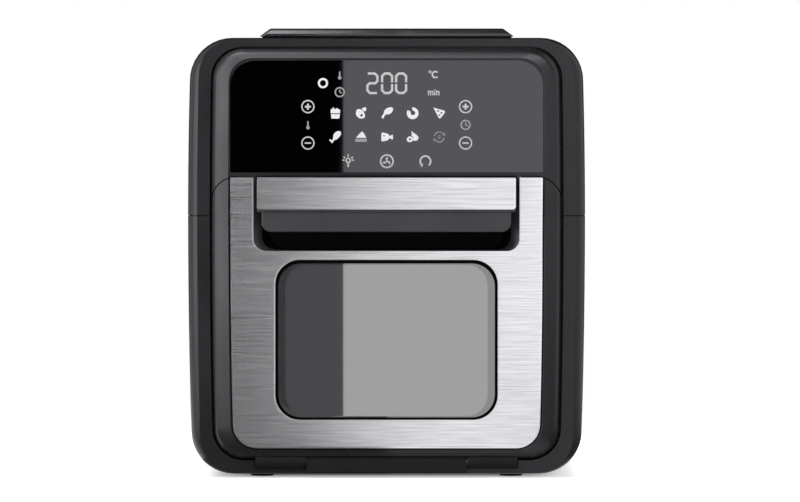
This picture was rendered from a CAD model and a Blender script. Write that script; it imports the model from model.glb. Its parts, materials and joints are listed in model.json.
"""Looks of the air fryer oven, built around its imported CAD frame.

Shapes are worked out in millimetres and stored in metres, in the frame's own axes:
the front faces -Y, +X is to the right of the front, and the table is at Z = 0.
"""

import json
import math

import bmesh
import bpy
from mathutils import Matrix, Vector
from mathutils.geometry import delaunay_2d_cdt

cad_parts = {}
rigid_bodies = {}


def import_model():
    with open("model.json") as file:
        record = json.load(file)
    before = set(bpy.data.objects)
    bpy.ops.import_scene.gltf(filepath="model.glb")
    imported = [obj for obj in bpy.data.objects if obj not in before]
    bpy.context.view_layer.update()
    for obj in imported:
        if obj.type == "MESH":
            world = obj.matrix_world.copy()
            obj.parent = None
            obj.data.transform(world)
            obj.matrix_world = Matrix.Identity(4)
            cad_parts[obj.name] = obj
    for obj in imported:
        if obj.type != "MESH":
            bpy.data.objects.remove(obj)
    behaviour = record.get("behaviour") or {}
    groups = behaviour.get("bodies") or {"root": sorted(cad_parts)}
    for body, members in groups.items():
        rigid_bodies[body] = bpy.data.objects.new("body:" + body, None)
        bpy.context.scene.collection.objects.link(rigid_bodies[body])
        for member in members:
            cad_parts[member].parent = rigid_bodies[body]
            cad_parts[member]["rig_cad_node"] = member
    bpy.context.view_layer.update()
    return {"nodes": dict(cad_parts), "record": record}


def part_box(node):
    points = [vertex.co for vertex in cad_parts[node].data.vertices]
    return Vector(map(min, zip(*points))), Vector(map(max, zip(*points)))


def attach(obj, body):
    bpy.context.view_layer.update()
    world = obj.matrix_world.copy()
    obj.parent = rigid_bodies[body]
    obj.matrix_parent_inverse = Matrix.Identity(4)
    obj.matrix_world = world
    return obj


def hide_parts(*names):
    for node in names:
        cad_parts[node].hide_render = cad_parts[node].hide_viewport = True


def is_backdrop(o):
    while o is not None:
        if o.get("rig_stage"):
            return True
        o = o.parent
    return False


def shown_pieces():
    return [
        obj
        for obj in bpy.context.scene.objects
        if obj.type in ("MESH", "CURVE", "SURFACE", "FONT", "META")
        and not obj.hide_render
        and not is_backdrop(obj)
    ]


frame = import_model()

MM = 0.001
HARD_ANGLE = math.radians(35)
EVEN_ANGLE = math.radians(0.6)
FLAT = "flat_face"


# ---------- places from the frame, in millimetres ----------


def low(node):
    """Lowest corner of a CAD node."""
    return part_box(node)[0] / MM


def high(node):
    """Highest corner of a CAD node."""
    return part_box(node)[1] / MM


HANDLE_Y = low("handle_trim").y
PLATE_Y = low("door_steel_plate").y
LIP_Y = low("upper_shell").y
FRAME_Y = low("front_frame").y
CHAMBER_Y = high("front_frame").y
LINER_Y = low("inner_door_panel").y + 1
COVER_Y = low("rear_cover").y
REAR_Y = high("rear_cover").y
HOOD_Y = high("rear_vent_hood").y
BOTTOM_Z = low("lower_shell").z
SEAM_Z = low("upper_shell").z
TOP_Z = high("upper_shell").z
SPLIT_Z = low("control_glass").z - 3.2
FLOOR_Z = low("inner_chamber").z + 9
CEILING_Z = high("inner_chamber").z - 9

SLOTS = {part["node"]: part["material_slot"] for part in frame["record"]["subparts"]}
GROUPS = frame["record"]["behaviour"]["bodies"]
BODIES = {node: name for name, nodes in GROUPS.items() for node in nodes}

# Half-widths at the top, middle and bottom of the outlines, and their heights
BODY_WIDTHS = (162.6, 165.3, 161.6)
BODY_HEIGHTS = (TOP_Z, SEAM_Z, BOTTOM_Z)
BODY_R = 35.5
LIP_WIDTHS = (155.6, 157.8, 154.6)
LIP_HEIGHTS = (TOP_Z - 1.0, SEAM_Z, BOTTOM_Z + 0.8)
LIP_R = 30.5
FRONT_WIDTHS = (143.9, 145.5, 142.9)
FRONT_HEIGHTS = (BOTTOM_Z + 354, SEAM_Z, BOTTOM_Z + 13.2)
FRONT_R = 25
RIM_WIDTHS = (131.0, 131.6, 129.3)
RIM_HEIGHTS = (BOTTOM_Z + 346.2, SEAM_Z, BOTTOM_Z + 21.0)
RIM_R = 20
LIP_GAP = 1.2
WALL = 3


# ---------- outlines: loops of (u, w) points ----------


def arc(cu, cw, r, start, end, steps=10):
    """Points on an arc between two angles in degrees, both ends included."""
    angles = [math.radians(start + (end - start) * k / steps) for k in range(steps + 1)]
    return [(cu + r * math.cos(a), cw + r * math.sin(a)) for a in angles]


def mirrored(right):
    """A closed loop from its right half, which runs from top to bottom."""
    return right + [(-u, w) for u, w in reversed(right)]


def right_half(widths, heights, radii, grow=0.0, side_steps=6):
    """Right half of an outline with gently bowed sides and rounded corners."""
    w_top, w_mid, w_bottom = [w + grow for w in widths]
    z_top, z_mid, z_bottom = heights[0] + grow, heights[1], heights[2] - grow
    r_top, r_bottom = [max(r + grow, 0.2) for r in radii]

    def side(z):
        far, reach = (w_top, z_top) if z > z_mid else (w_bottom, z_bottom)
        return w_mid + (far - w_mid) * ((z - z_mid) / (reach - z_mid)) ** 2

    upper, lower = z_top - r_top, z_bottom + r_bottom
    points = arc(side(upper) - r_top, upper, r_top, 90, 0)
    stops = [upper + (z_mid - upper) * k / side_steps for k in range(1, side_steps + 1)]
    stops += [z_mid + (lower - z_mid) * k / side_steps for k in range(1, side_steps)]
    points += [(side(z), z) for z in stops]
    points += arc(side(lower) - r_bottom, lower, r_bottom, 0, -90)
    return points


def upright(widths, heights, radii, grow=0.0):
    return mirrored(right_half(widths, heights, radii, grow))


def body(grow=0.0):
    return upright(BODY_WIDTHS, BODY_HEIGHTS, (BODY_R, BODY_R), grow)


def front(grow=0.0):
    return upright(FRONT_WIDTHS, FRONT_HEIGHTS, (FRONT_R, FRONT_R), grow)


def rim(grow=0.0):
    return upright(RIM_WIDTHS, RIM_HEIGHTS, (RIM_R, RIM_R), grow)


def panel(w, z0, z1, r_top, r_bottom, grow=0.0, cu=0.0):
    """Upright rectangle of half-width w with its own top and bottom corner radii."""
    points = right_half((w, w, w), (z1, (z0 + z1) / 2, z0), (r_top, r_bottom), grow, 1)
    return [(cu + u, z) for u, z in mirrored(points)]


def circle(cu, cw, r, steps=32):
    return arc(cu, cw, r, 90, 90 - 360 * (steps - 1) / steps, steps - 1)


def opening(half, w0, w1, r=None, cu=0.0, r_bottom=None):
    """A rounded opening, as a function of its growth; round-ended unless r is given."""
    r = half - 0.1 if r is None else r
    r_bottom = r if r_bottom is None else r_bottom
    return lambda grow: panel(half, w0, w1, r, r_bottom, grow, cu)


def round_opening(cu, cw, r):
    """A round opening, as a function of its growth."""
    return lambda grow: circle(cu, cw, r + grow, 20)


def rectangle(cu, cw, w, h, chamfer):
    """Rectangle of half-sizes w and h with chamfered corners."""
    c = min(chamfer, w * 0.9, h * 0.9)
    corners = [(w - c, h), (w, h - c), (w, c - h), (w - c, -h)]
    corners += [(c - w, -h), (-w, c - h), (-w, h - c), (c - w, h)]
    return [(cu + u, cw + v) for u, v in corners]


def mixed(a, b, t):
    """Outline part of the way from a to b, point by point."""
    return [(p[0] + (q[0] - p[0]) * t, p[1] + (q[1] - p[1]) * t) for p, q in zip(a, b)]


def at_y(loop, y):
    """Points of an upright outline at a depth."""
    return [(u, y, w) for u, w in loop]


def at_z(loop, z):
    """Points of a level outline at a height."""
    return [(u, w, z) for u, w in loop]


def at_x(loop, x):
    """Points of a Y-Z outline at a place along X."""
    return [(x, u, w) for u, w in loop]


# ---------- meshes ----------


def inside(u, w, loops):
    """True if a point is inside an odd number of the loops."""
    odd = False
    for loop in loops:
        for p, q in zip(loop, loop[1:] + loop[:1]):
            if (p[1] > w) != (q[1] > w):
                if u < p[0] + (q[0] - p[0]) * (w - p[1]) / (q[1] - p[1]):
                    odd = not odd
    return odd


def flat_axes(points):
    """The two axes that a flat loop of points spreads along most."""
    normal = Vector((0, 0, 0))
    for p, q in zip(points, points[1:] + points[:1]):
        normal += Vector(p).cross(Vector(q))
    drop = max(range(3), key=lambda k: abs(normal[k]))
    return [k for k in range(3) if k != drop]


class Shape:
    """A mesh that is being made. Its places are in millimetres."""

    def __init__(self):
        self.bm = bmesh.new()
        self.flat = self.bm.faces.layers.int.new(FLAT)
        self.count = 0

    def ring(self, points):
        return [self.bm.verts.new(Vector(p) * MM) for p in points]

    def rings(self, loops):
        return [self.ring(points) for points in loops]

    def skin(self, rings, closed=True, wrap=False, flat=0):
        """Quads from each ring to the next; wrap also joins the last to the first."""
        pairs = list(zip(rings, rings[1:]))
        if wrap:
            pairs.append((rings[-1], rings[0]))
        for a, b in pairs:
            count = len(a)
            for i in range(count if closed else count - 1):
                j = (i + 1) % count
                self.bm.faces.new((a[i], a[j], b[j], b[i]))[self.flat] = flat
        return self

    def fill(self, *rings):
        """Flat triangles inside the first ring and outside the others."""
        axis_u, axis_w = flat_axes([v.co for v in rings[0]])
        loops = [[(v.co[axis_u], v.co[axis_w]) for v in ring] for ring in rings]
        verts = [v for ring in rings for v in ring]
        edges = []
        start = 0
        for ring in rings:
            count = len(ring)
            edges += [(start + k, start + (k + 1) % count) for k in range(count)]
            start += count
        flat = [Vector(p) for loop in loops for p in loop]
        found = delaunay_2d_cdt(flat, edges, [], 1, 1e-9, True)
        for face in found[2]:
            corners = [verts[found[3][k][0]] for k in face]
            middle = sum((v.co for v in corners), Vector()) / 3
            if inside(middle[axis_u], middle[axis_w], loops):
                self.bm.faces.new(corners)[self.flat] = 1
        return self

    def tube(self, points, r, sides=12, closed=False):
        """A round bar along the points, with its ends closed."""
        rings = self.rings(swept(points, r, sides, closed))
        self.skin(rings, wrap=closed)
        if not closed:
            self.bm.faces.new(reversed(rings[0]))
            self.bm.faces.new(rings[-1])
        return self

    def solid(self, loops):
        """Skin through the loops with a flat fill at each end."""
        rings = self.rings(loops)
        return self.skin(rings).fill(rings[0]).fill(rings[-1])

    def slab(self, place, outer, holes, near, far, edge):
        """A plate between two depths with its edges rounded at both faces.

        outer and holes are functions of a growth that return loops, and place puts a
        loop at a depth.
        """
        return self.plate(place, outer, holes, rounded_steps(near, far, edge))

    def plate(self, place, outer, holes, steps, crisp=0, hole_steps=None):
        """A plate whose sides follow (depth, inset) steps; the first few may be crisp."""
        inner = hole_steps or steps
        sides = [[place(outer(-inset), depth) for depth, inset in steps]]
        sides += [[place(hole(inset), depth) for depth, inset in inner] for hole in holes]
        sides = [self.rings(loops) for loops in sides]
        for rings in sides:
            self.skin(rings[:crisp + 1], flat=1).skin(rings[crisp:])
        return self.capped(sides)

    def capped(self, sides):
        """Flat faces at both ends of some rows of rings: an outside first, then holes."""
        return self.fill(*[rings[0] for rings in sides]).fill(*[rings[-1] for rings in sides])

    def cup(self, place, outer, inner, holes=(), hole_steps=()):
        """A hollow shape with one open side.

        outer and inner are (loop, depth) pairs from its mouth to its closed end, and the
        holes go through that end by (depth, inset) steps.
        """
        sides = [self.rings([place(*pair) for pair in pairs]) for pairs in (outer, inner)]
        bores = [self.rings([place(hole(g), d) for d, g in hole_steps]) for hole in holes]
        for rings in sides + bores:
            self.skin(rings)
        self.fill(sides[0][0], sides[1][0])
        self.fill(sides[0][-1], *[rings[0] for rings in bores])
        return self.fill(sides[1][-1], *[rings[-1] for rings in bores])

    def turned(self, place, centre, profile, steps=32, start=0):
        """A turned shape round a centre: profile is (radius, depth from the start) pairs.

        A profile that ends where it starts makes a ring with a bore.
        """
        loops = [place(circle(*centre, max(r, 0.02), steps), start + d) for r, d in profile]
        if profile[0] != profile[-1]:
            return self.solid(loops)
        return self.skin(self.rings(loops[:-1]), wrap=True)

    def block(self, low_corner, high_corner, edge=0.3):
        """A box with chamfered edges."""
        (x0, y0, z0), (x1, y1, z1) = low_corner, high_corner
        cu, cw, w, h = (x0 + x1) / 2, (y0 + y1) / 2, (x1 - x0) / 2, (y1 - y0) / 2
        steps = [(z0, -edge), (z0 + edge, 0), (z1 - edge, 0), (z1, -edge)]
        return self.solid([at_z(rectangle(cu, cw, w + g, h + g, edge * 0.8), z) for z, g in steps])

    def join(self, mesh, matrix):
        """Adds a copy of a mesh, moved by a matrix in metres."""
        copy = mesh.copy()
        copy.transform(matrix)
        self.bm.from_mesh(copy)
        bpy.data.meshes.remove(copy)
        return self

    def painted(self, index):
        """Gives the faces made since the last call the piece's material of that number."""
        self.bm.faces.ensure_lookup_table()
        for face in self.bm.faces[self.count:]:
            face.material_index = index
        self.count = len(self.bm.faces)
        return self

    def mesh(self, name="tool"):
        """The finished mesh, closed and with its faces turned outwards."""
        bmesh.ops.remove_doubles(self.bm, verts=self.bm.verts, dist=1e-7)
        bmesh.ops.recalc_face_normals(self.bm, faces=self.bm.faces)
        made = bpy.data.meshes.new(name)
        self.bm.to_mesh(made)
        self.bm.free()
        return made


def rounded_steps(near, far, edge):
    """(depth, inset) pairs across a plate's thickness, quarter rounds at both faces."""
    way = 1 if far > near else -1
    turns = [math.pi / 2 * k / 3 for k in range(4)]
    curve = [(edge * (1 - math.cos(t)), edge * (1 - math.sin(t))) for t in turns]
    first = [(near + way * depth, inset) for depth, inset in curve]
    last = [(far - way * depth, inset) for depth, inset in reversed(curve)]
    return first + last


def eased(points, edge):
    """A profile with a small chamfer at each of its inner corners."""
    result = [points[0]]
    for before, here, after in zip(points, points[1:], points[2:]):
        for other in (before, after):
            way = Vector(other) - Vector(here)
            result.append(tuple(Vector(here) + way.normalized() * min(edge, way.length * 0.4)))
    return result + [points[-1]]


def filleted(points, r, steps=5):
    """A path with its corners rounded."""
    path = [Vector(p) for p in points]
    result = [path[0]]
    for before, here, after in zip(path, path[1:], path[2:]):
        reach = min(r, (before - here).length * 0.49, (after - here).length * 0.49)
        start = here + (before - here).normalized() * reach
        end = here + (after - here).normalized() * reach
        for k in range(steps + 1):
            t = k / steps
            result.append(start * (1 - t) ** 2 + here * 2 * t * (1 - t) + end * t * t)
    return result + [path[-1]]


def swept(points, r, sides, closed):
    """Rings of a round bar, which keep their turn from point to point."""
    path = [Vector(p) for p in points]
    last = len(path) - 1
    turns = [math.tau * i / sides for i in range(sides)]
    rings = []
    side = None
    for k, here in enumerate(path):
        before = path[k - 1] if k or closed else here
        after = path[(k + 1) % len(path)] if k < last or closed else here
        ahead = (after - before).normalized()
        if side is None:
            side = ahead.orthogonal()
        side = (side - ahead * side.dot(ahead)).normalized()
        other = ahead.cross(side)
        rings.append([here + (side * math.cos(t) + other * math.sin(t)) * r for t in turns])
    return rings


def pin(shape, place, centre, r, near, far, edge=0.3):
    """A round bar with chamfered ends."""
    profile = eased([(0, near), (r, near), (r, far), (0, far)], edge)
    return shape.turned(place, centre, profile)


def linked(name, data):
    """A new object in the scene."""
    made = bpy.data.objects.new(name, data)
    bpy.context.scene.collection.objects.link(made)
    return made


def show(mesh, name, finishes, body_name, stands_for=()):
    """Puts a mesh in the scene as a piece that rides on a body."""
    piece = linked(name, mesh)
    for finish in finishes:
        mesh.materials.append(FINISHES[finish])
    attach(piece, body_name)
    if stands_for:
        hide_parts(*stands_for)
    return piece


def put(made, node, *more):
    """Shows a shape or a mesh in place of the CAD node of that name."""
    mesh = made.mesh(node) if isinstance(made, Shape) else made
    return show(mesh, node, (SLOTS[node], *more), BODIES[node], [node])


def prism(loop, near, far, place=at_y):
    """Tool with one cross-section between two depths."""
    return Shape().solid([place(loop, near), place(loop, far)]).mesh()


def cut(piece, tool, operation="DIFFERENCE"):
    """Boolean of a piece with a tool mesh, kept in the piece's own mesh."""
    cutter = linked("cutter", tool)
    change = piece.modifiers.new("cut", "BOOLEAN")
    change.object = cutter
    change.operation = operation
    change.solver = "EXACT"
    evaluated = piece.evaluated_get(bpy.context.evaluated_depsgraph_get())
    result = bpy.data.meshes.new_from_object(evaluated)
    piece.modifiers.clear()
    piece.data = result
    bpy.data.objects.remove(cutter)
    return piece


def carved(mesh, *tools):
    """A mesh with the tools cut out of it."""
    piece = linked("blank", mesh)
    for tool in tools:
        cut(piece, tool)
    made = piece.data
    bpy.data.objects.remove(piece)
    return made


def repainted(mesh, rule):
    """Gives each face the piece's material whose number the rule finds from its centre."""
    for face in mesh.polygons:
        face.material_index = rule(face.center / MM)
    return mesh


def softened(node, width, segments=2):
    """A copy of a CAD node's mesh with its hard edges rounded."""
    bm = bmesh.new()
    bm.from_mesh(frame["nodes"][node].data)
    bmesh.ops.remove_doubles(bm, verts=bm.verts, dist=1e-6)
    bmesh.ops.dissolve_limit(bm, angle_limit=EVEN_ANGLE, verts=bm.verts, edges=bm.edges)
    hard = [e for e in bm.edges if len(e.link_faces) == 2 and e.calc_face_angle() > HARD_ANGLE]
    width *= MM
    bmesh.ops.bevel(bm, geom=hard, offset=width, segments=segments, affect="EDGES", clamp_overlap=True)
    made = bpy.data.meshes.new(node)
    bm.to_mesh(made)
    bm.free()
    return made


# ---------- materials ----------


def set_inputs(node, values):
    """Sets inputs by their labels, with _ for each space."""
    for label, value in values.items():
        node.inputs[label.replace("_", " ")].default_value = value


def add_node(nodes, kind, **values):
    node = nodes.new("ShaderNode" + kind)
    set_inputs(node, values)
    return node


class Finish:
    """A node-based material on one Principled shader."""

    def __init__(self, name, color, roughness, **values):
        self.material = bpy.data.materials.new(name)
        self.material.use_nodes = True
        self.nodes = self.material.node_tree.nodes
        self.links = self.material.node_tree.links
        self.shader = self.nodes["Principled BSDF"]
        self.place = add_node(self.nodes, "TexCoord").outputs["Object"]
        self.color = color
        set_inputs(self.shader, {"Base Color": (*color, 1), "Roughness": roughness, **values})

    def noise(self, scale, stretch=(1, 1, 1), detail=3):
        """Noise over the piece; scale is in ripples per metre, times the stretch."""
        mapping = add_node(self.nodes, "Mapping", Scale=[scale * s for s in stretch])
        texture = add_node(self.nodes, "TexNoise", Scale=1, Detail=detail)
        self.links.new(self.place, mapping.inputs["Vector"])
        self.links.new(mapping.outputs["Vector"], texture.inputs["Vector"])
        return texture.outputs["Fac"]

    def spread(self, source, low_value, high_value, low_at=0.3, high_at=0.7):
        """Maps a noise to a range of values."""
        node = add_node(self.nodes, "MapRange", From_Min=low_at, From_Max=high_at)
        set_inputs(node, {"To Min": low_value, "To Max": high_value})
        self.links.new(source, node.inputs["Value"])
        return node.outputs["Result"]

    def rough(self, source, low_value, high_value):
        self.links.new(self.spread(source, low_value, high_value), self.shader.inputs["Roughness"])
        return self

    def tint(self, source, darker, lighter):
        """Varies the base colour between two multiples of itself."""
        mix = add_node(self.nodes, "Mix")
        mix.data_type = "RGBA"
        mix.inputs["A"].default_value = [min(c * darker, 1) for c in self.color] + [1]
        mix.inputs["B"].default_value = [min(c * lighter, 1) for c in self.color] + [1]
        self.links.new(self.spread(source, 0, 1), mix.inputs["Factor"])
        self.links.new(mix.outputs["Result"], self.shader.inputs["Base Color"])
        return self

    def bump(self, source, height, strength=0.5):
        """Relief of a height in millimetres."""
        node = add_node(self.nodes, "Bump", Strength=strength, Distance=height * MM)
        self.links.new(source, node.inputs["Height"])
        self.links.new(node.outputs["Normal"], self.shader.inputs["Normal"])
        return self


WHITE = (1, 1, 1, 1)
COOL = (0.94, 0.94, 1, 1)
PANEL_GLOSS = (0.91, 0.89, 1, 1)
PLASTIC = (0.009, 0.009, 0.0098)
BRUSH_STRETCH = (1, 30, 32)


def grey(level):
    return (level, level, level)


def moulded(name, color, roughness, grain=900, height=0.03, specular=0.5, gloss=WHITE):
    """Satin moulded plastic with a fine grain and slight unevenness."""
    finish = Finish(name, color, roughness, Specular_IOR_Level=specular, Specular_Tint=gloss)
    finish.bump(finish.noise(grain, detail=2), height)
    finish.rough(finish.noise(14), roughness - 0.04, roughness + 0.05)
    finish.tint(finish.noise(30), 0.9, 1.12)
    return finish.material


def brushed(name, color, roughness):
    """Metal with fine brush lines along X."""
    finish = Finish(name, color, roughness, Metallic=1.0, Anisotropic=0.5)
    tangent = add_node(finish.nodes, "Tangent")
    tangent.direction_type = "RADIAL"
    tangent.axis = "Z"
    finish.links.new(tangent.outputs["Tangent"], finish.shader.inputs["Tangent"])
    finish.tint(finish.noise(24, BRUSH_STRETCH, detail=4), 0.82, 1.11)
    finish.rough(finish.noise(20, BRUSH_STRETCH, detail=3), roughness - 0.02, roughness + 0.02)
    finish.bump(finish.noise(20, BRUSH_STRETCH, detail=2), 0.006, 0.05)
    return finish.material


def pressed(name, color, roughness, mottle=60):
    """Sheet or cast metal with soft uneven shine."""
    finish = Finish(name, color, roughness, Metallic=1.0)
    finish.rough(finish.noise(mottle, detail=4), roughness - 0.07, roughness + 0.09)
    finish.tint(finish.noise(mottle / 4), 0.88, 1.08)
    finish.bump(finish.noise(mottle * 12, detail=2), 0.01, 0.3)
    return finish.material


def glass(name, color, finest, coarsest, ripples=9, **values):
    """Glass whose gloss varies a little between two roughnesses."""
    finish = Finish(name, color, coarsest, **values)
    finish.rough(finish.noise(ripples), finest, coarsest)
    return finish.material


def printed(name, level):
    """Display and touch symbols of a brightness, partly lit from behind."""
    lit = {"Emission_Color": WHITE, "Emission_Strength": level * 0.4}
    finish = Finish(name, grey(level), 0.5, Specular_IOR_Level=0.1, **lit)
    finish.tint(finish.noise(400), 0.94, 1.05)
    return finish.material


def fibre_blanket():
    finish = Finish("fibre", (0.72, 0.66, 0.5), 0.95)
    finish.bump(finish.noise(500, detail=6), 0.6, 0.8)
    finish.tint(finish.noise(90, detail=5), 0.75, 1.15)
    return finish.material


def hot_coil():
    """Dark oxidised heating tube with heat tints."""
    finish = Finish("coil_metal", (0.11, 0.095, 0.085), 0.5, Metallic=0.85)
    finish.tint(finish.noise(120, detail=5), 0.6, 1.5)
    finish.rough(finish.noise(300, detail=4), 0.4, 0.7)
    finish.bump(finish.noise(1500), 0.03)
    return finish.material


# Colour, roughness, grain in ripples per metre and its height, specular level and its colour
MOULDED = {
    "shell_plastic": (PLASTIC, 0.3, 900, 0.03, 0.37, COOL),
    "front_plastic": (PLASTIC, 0.28, 900, 0.03, 0.4, COOL),
    "vent_plastic": ((0.013, 0.013, 0.014), 0.15, 900, 0.03, 0.58, COOL),
    "grip_plastic": ((0.026, 0.026, 0.028), 0.4, 900, 0.03, 0.36, COOL),
    "frame_steel": (grey(0.03), 0.4, 500),
    "rubber_black": (grey(0.008), 0.75, 1400, 0.05, 0.12),
    "silicone_grey": (grey(0.05), 0.55, 700),
    "ceramic_white": ((0.8, 0.77, 0.7), 0.35, 600),
    "board_green": ((0.02, 0.13, 0.05), 0.35, 300),
    "display_black": (grey(0.0015), 0.6, 900, 0.03, 0.05),
    "lead_sleeve": ((0.45, 0.05, 0.03), 0.45, 800),
    "switch_brown": ((0.12, 0.04, 0.02), 0.4, 700),
    "tray_enamel": (grey(0.03), 0.22, 350, 0.02),
}
# Colour, roughness and mottling in ripples per metre
PRESSED = {
    "liner_steel": ((0.5, 0.5, 0.51), 0.34),
    "chamber_steel": ((0.42, 0.42, 0.43), 0.38, 40),
    "zinc_steel": ((0.6, 0.61, 0.62), 0.4, 90),
    "bright_wire": ((0.7, 0.7, 0.71), 0.2, 150),
    "fan_metal": ((0.62, 0.62, 0.64), 0.32, 70),
    "motor_paint": ((0.3, 0.31, 0.33), 0.45, 80),
    "screw_steel": ((0.55, 0.55, 0.56), 0.3, 300),
    "spring_brass": ((0.7, 0.52, 0.25), 0.25, 200),
    "magnet_grey": ((0.4, 0.4, 0.41), 0.45, 150),
}
PRINTED = {"marks_white": 0.5, "marks_soft": 0.34, "marks_dim": 0.2}


def make_finishes():
    """Every finish, by the name of its material slot."""
    made = {name: moulded(name, *values) for name, values in MOULDED.items()}
    made.update({name: pressed(name, *values) for name, values in PRESSED.items()})
    made.update({name: printed(name, level) for name, level in PRINTED.items()})
    made["brushed_plate"] = brushed("brushed_plate", (0.79, 0.786, 0.815), 0.2)
    touch = {"IOR": 1.92, "Specular_Tint": PANEL_GLOSS}
    clear = {"IOR": 1.5, "Transmission_Weight": 1.0}
    made["panel_glass"] = glass("panel_glass", grey(0.0005), 0.015, 0.035, **touch)
    made["window_glass"] = glass("window_glass", (0.072, 0.072, 0.076), 0.01, 0.03, IOR=3.3)
    made["window_edge"] = glass("window_edge", (0.038, 0.038, 0.041), 0.01, 0.03, IOR=2.75)
    made["clear_glass"] = glass("clear_glass", (0.86, 0.93, 0.92), 0.01, 0.03, 12, **clear)
    made["fibre"] = fibre_blanket()
    made["coil_metal"] = hot_coil()
    return made


FINISHES = make_finishes()


# ---------- stage: floor, backdrop light, cards, lamps, camera; in metres ----------

VIEW_WIDTH = 0.664
CAMERA_X = 0.0112
CAMERA_Z = 0.189
CAMERA_FAR = 6.0
CAMERA_PITCH = math.radians(1.4)
AMBIENT = 0.45

# The floor, with its rings in millimetres, glows outside a rectangle under the oven and
# turns into the backdrop far away
FLOOR_RINGS = (400, 1500, 8000)
FLOOR_LIFT = 0.55
FLOOR_END = (0.45, 1.1)
SHADE_HALF = (0.1, 0.08, 0)
SHADE_FADE = 0.05

# Cards stand before the oven; the dark one ends where the glass's reflection turns pale
CARD_AWAY = 0.9
CARD_Y = PLATE_Y * MM - CARD_AWAY
GLASS_EDGE_X = -0.0359
DARK_EDGE = GLASS_EDGE_X + (GLASS_EDGE_X - CAMERA_X) * CARD_AWAY / CAMERA_FAR
MAT_Z = 0.001
SHADE_Z = 2.1


def make_camera():
    """A long lens a little above the middle of the front."""
    camera = linked("camera", bpy.data.cameras.new("camera"))
    aim = Vector((CAMERA_X, PLATE_Y * MM, CAMERA_Z))
    back = Vector((0, -math.cos(CAMERA_PITCH), math.sin(CAMERA_PITCH)))
    camera.location = aim + back * CAMERA_FAR
    camera.rotation_euler = (-back).to_track_quat("-Z", "Y").to_euler()
    camera.data.lens = camera.data.sensor_width * CAMERA_FAR / VIEW_WIDTH
    camera.data.clip_end = 100
    bpy.context.scene.camera = camera


def backdrop_rays(nodes, links):
    """1 for the camera's, mirrors' and glass's rays, which see the pale background."""
    path = add_node(nodes, "LightPath")
    seen = path.outputs["Is Camera Ray"]
    for label in ("Is Glossy Ray", "Is Transmission Ray"):
        either = add_node(nodes, "Math")
        either.operation = "MAXIMUM"
        links.new(seen, either.inputs[0])
        links.new(path.outputs[label], either.inputs[1])
        seen = either.outputs["Value"]
    return seen


def pale_world(ambient):
    """White to the camera, mirrors and glass; a plain ambient light to all else."""
    world = bpy.data.worlds.new("studio")
    bpy.context.scene.world = world
    world.use_nodes = True
    nodes, links = world.node_tree.nodes, world.node_tree.links
    strength = add_node(nodes, "MapRange", To_Min=ambient, To_Max=1.0)
    links.new(backdrop_rays(nodes, links), strength.inputs["Value"])
    background = nodes["Background"]
    background.inputs["Color"].default_value = WHITE
    links.new(strength.outputs["Result"], background.inputs["Strength"])


def vector_step(finish, source, operation, other=None):
    """One vector operation on a source; a length comes out as a number."""
    step = add_node(finish.nodes, "VectorMath")
    step.operation = operation
    finish.links.new(source, step.inputs[0])
    if other:
        step.inputs[1].default_value = other
    return step.outputs["Value" if operation == "LENGTH" else "Vector"]


def shade_distance(finish):
    """Distance from the level rectangle under the oven."""
    folded = vector_step(finish, finish.place, "ABSOLUTE")
    past = vector_step(finish, folded, "SUBTRACT", SHADE_HALF)
    return vector_step(finish, vector_step(finish, past, "MAXIMUM", (0, 0, 0)), "LENGTH")


def floor_finish():
    """Near-white that glows to the camera and mirrors, and is plain backdrop far away."""
    finish = Finish("floor", grey(0.92), 0.9, Specular_IOR_Level=0.1, Emission_Color=WHITE)
    nodes, links = finish.nodes, finish.links
    lift = add_node(nodes, "Math")
    lift.operation = "MULTIPLY"
    links.new(finish.spread(shade_distance(finish), 0, FLOOR_LIFT, 0, SHADE_FADE), lift.inputs[0])
    links.new(backdrop_rays(nodes, links), lift.inputs[1])
    links.new(lift.outputs["Value"], finish.shader.inputs["Emission Strength"])
    away = vector_step(finish, finish.place, "LENGTH")
    backdrop = add_node(nodes, "Emission")
    mix = add_node(nodes, "MixShader")
    links.new(finish.spread(away, 0, 1, *FLOOR_END), mix.inputs["Fac"])
    links.new(finish.shader.outputs["BSDF"], mix.inputs[1])
    links.new(backdrop.outputs["Emission"], mix.inputs[2])
    links.new(mix.outputs["Shader"], nodes["Material Output"].inputs["Surface"])
    return finish.material


def make_floor():
    """A round floor that takes the oven's shadow."""
    shape = Shape()
    rings = shape.rings([at_z(circle(0, 0, r, 64), 0) for r in FLOOR_RINGS])
    shape.skin(rings).fill(rings[0])
    floor = linked("floor", shape.mesh("floor"))
    floor.data.materials.append(floor_finish())
    floor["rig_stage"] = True


def soft_lamp(name, place, aim, size, power):
    """A soft box that neither the camera nor mirrors see."""
    lamp = linked(name, bpy.data.lights.new(name, "AREA"))
    lamp.data.shape = "RECTANGLE"
    lamp.data.size, lamp.data.size_y = size
    lamp.data.energy = power
    lamp.location = place
    lamp.rotation_euler = (Vector(aim) - Vector(place)).to_track_quat("-Z", "Y").to_euler()
    lamp.visible_camera = False
    lamp.visible_glossy = False


def card(name, level, corners):
    """A flat card of an even brightness, which only mirrors see."""
    mesh = bpy.data.meshes.new(name)
    mesh.from_pydata(corners, [], [tuple(range(len(corners)))])
    mesh.validate()
    piece = linked(name, mesh)
    material = bpy.data.materials.new(name)
    material.use_nodes = True
    nodes = material.node_tree.nodes
    nodes.remove(nodes["Principled BSDF"])
    glow = add_node(nodes, "Emission", Strength=level)
    surface = nodes["Material Output"].inputs["Surface"]
    material.node_tree.links.new(glow.outputs["Emission"], surface)
    mesh.materials.append(material)
    piece.visible_camera = False
    piece.visible_diffuse = False
    piece.visible_shadow = False
    piece.visible_transmission = False
    piece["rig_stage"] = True


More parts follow.
